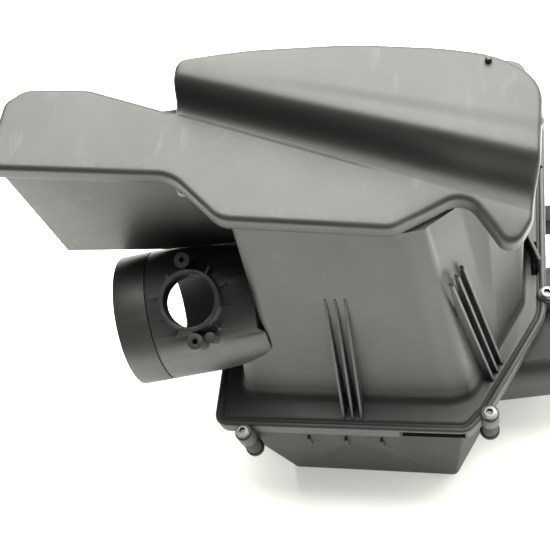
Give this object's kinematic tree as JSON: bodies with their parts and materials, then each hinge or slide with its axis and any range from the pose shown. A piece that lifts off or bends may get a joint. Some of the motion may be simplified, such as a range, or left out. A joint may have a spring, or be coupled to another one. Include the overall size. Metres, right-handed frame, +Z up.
{
  "type": "air filter housing",
  "caption": "Moulded air filter housing with a deep tray, lift-off upper housing, large stepped cover, round outlet with sensor port, side inlet and captive screws.",
  "frame": {"origin": "middle of the tray's flat underside", "axes": "+Z up, +X towards the inlet side, -Y the front face with the slot in the skirt"},
  "size_m": [0.3726, 0.2823, 0.2732],
  "materials": {
    "tray_plastic": "moulded, fine grain",
    "duct_plastic": "moulded, fine grain",
    "housing_plastic": "moulded, fine grain",
    "cover_plastic": "moulded, fine grain, soft sheen",
    "outlet_plastic": "moulded, glass filled",
    "grid_plastic": "moulded",
    "clip_plastic": "moulded",
    "brass": "knurled",
    "black_rubber": "matt",
    "zinc_steel": "zinc plated",
    "screw_steel": "zinc plated",
    "filter_paper": "pleated, resin treated",
    "seal_foam": "cast foam",
    "hot_glue": "set glue"
  },
  "bodies": {
    "tray": {"lower_tray": "tray_plastic", "mounting_arms": "tray_plastic", "threaded_inserts": "brass", "drain_valve": "black_rubber", "mount_grommets": "black_rubber", "mount_bushes": "zinc_steel", "inlet_duct": "duct_plastic", "inlet_seal": "black_rubber"},
    "filter": {"filter_media": "filter_paper", "filter_seal": "seal_foam", "filter_beads": "hot_glue"},
    "upper": {"upper_housing": "housing_plastic", "side_chamber": "housing_plastic", "top_cover": "cover_plastic", "cover_screws": "screw_steel", "screw_sleeves": "zinc_steel", "outlet_tube": "outlet_plastic", "outlet_ring": "outlet_plastic", "outlet_seal": "black_rubber", "flow_grid": "grid_plastic", "sensor_inserts": "brass", "edge_clip": "clip_plastic"},
    "screw_front_left": {"captive_screw_front_left": "screw_steel"},
    "screw_front_right": {"captive_screw_front_right": "screw_steel"},
    "screw_right": {"captive_screw_right": "screw_steel"},
    "screw_right_rear": {"captive_screw_right_rear": "screw_steel"},
    "screw_rear": {"captive_screw_rear": "screw_steel"},
    "screw_left": {"captive_screw_left": "screw_steel"}
  },
  "joints": [
    {"name": "upper_lift", "type": "slide", "parent": "tray", "child": "upper", "axis": [0, 0, 1], "range_m": [0, 0.14]},
    {"name": "filter_lift", "type": "slide", "parent": "tray", "child": "filter", "axis": [0, 0, 1], "range_m": [0, 0.07]},
    {"name": "turn_screw_front_left", "type": "hinge", "parent": "upper", "child": "screw_front_left", "pos_m": [-0.0837, -0.1242, 0.095], "axis": [0, 0, 1], "continuous": true},
    {"name": "turn_screw_front_right", "type": "hinge", "parent": "upper", "child": "screw_front_right", "pos_m": [0.068, -0.1065, 0.095], "axis": [0, 0, 1], "continuous": true},
    {"name": "turn_screw_right", "type": "hinge", "parent": "upper", "child": "screw_right", "pos_m": [0.1035, -0.026, 0.095], "axis": [0, 0, 1], "continuous": true},
    {"name": "turn_screw_right_rear", "type": "hinge", "parent": "upper", "child": "screw_right_rear", "pos_m": [0.085, 0.123, 0.095], "axis": [0, 0, 1], "continuous": true},
    {"name": "turn_screw_rear", "type": "hinge", "parent": "upper", "child": "screw_rear", "pos_m": [0, 0.123, 0.095], "axis": [0, 0, 1], "continuous": true},
    {"name": "turn_screw_left", "type": "hinge", "parent": "upper", "child": "screw_left", "pos_m": [-0.108, 0.03, 0.095], "axis": [0, 0, 1], "continuous": true}
  ],
  "couplings": [
    {"joint": "filter_lift", "follows": "upper_lift", "ratio": 0.5}
  ]
}
